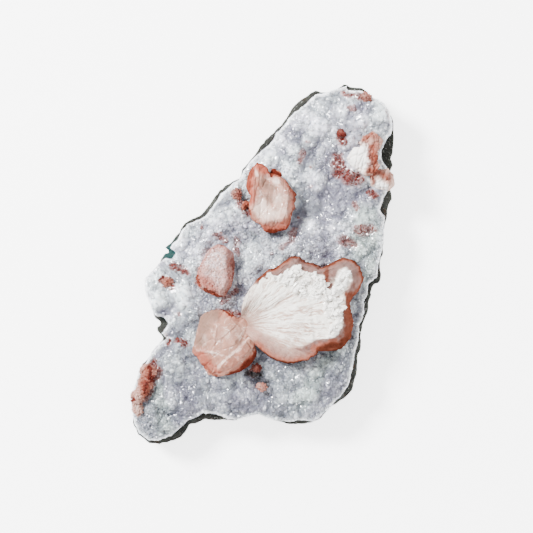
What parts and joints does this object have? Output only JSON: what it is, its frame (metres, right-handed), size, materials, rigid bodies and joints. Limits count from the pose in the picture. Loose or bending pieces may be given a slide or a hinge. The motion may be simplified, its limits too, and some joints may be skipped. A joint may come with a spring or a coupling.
{
  "type": "apophyllite specimen",
  "caption": "Mineral specimen: a basalt plate under a druzy chalcedony crust, carrying a bow-tie crystal sheaf and blocky salmon crystals; lies on its flat back.",
  "frame": {"origin": "centre of the bounding box at its bottom, which is the flat basalt back that the specimen lies on", "axes": "+Z up, out of the crystal face; +Y along the long side of the plate, towards its pointed top; +X to the right when the crystal face is looked at with +Y up"},
  "size_m": [0.1324, 0.1808, 0.0388],
  "materials": {
    "basalt": "rough broken dark basalt with pale specks and a few green celadonite spots",
    "chalcedony": "pale bluish-grey druzy chalcedony, sparkling, whiter on the lumps and along the broken edge",
    "sheaf": "silky white to pink fibrous crystal with a red-brown rim",
    "salmon": "translucent peach crystal with red-brown edges",
    "iron_red": "iron-stained red-brown crystal",
    "pale": "pale translucent striated crystal"
  },
  "bodies": {
    "root": {"basalt_matrix": "basalt", "druzy_crust": "chalcedony", "bow_tie_sheaf": "sheaf", "upper_crystal": "salmon", "left_tablet": "salmon", "top_right_cluster": "salmon", "corner_cluster": "iron_red", "red_bud_left": "iron_red", "red_bud_upper": "iron_red", "pit_bud_upper": "iron_red", "pit_crystal_lower": "iron_red", "rim_bud_top": "iron_red", "orange_bud_left": "iron_red", "pale_lath": "pale"}
  },
  "joints": []
}
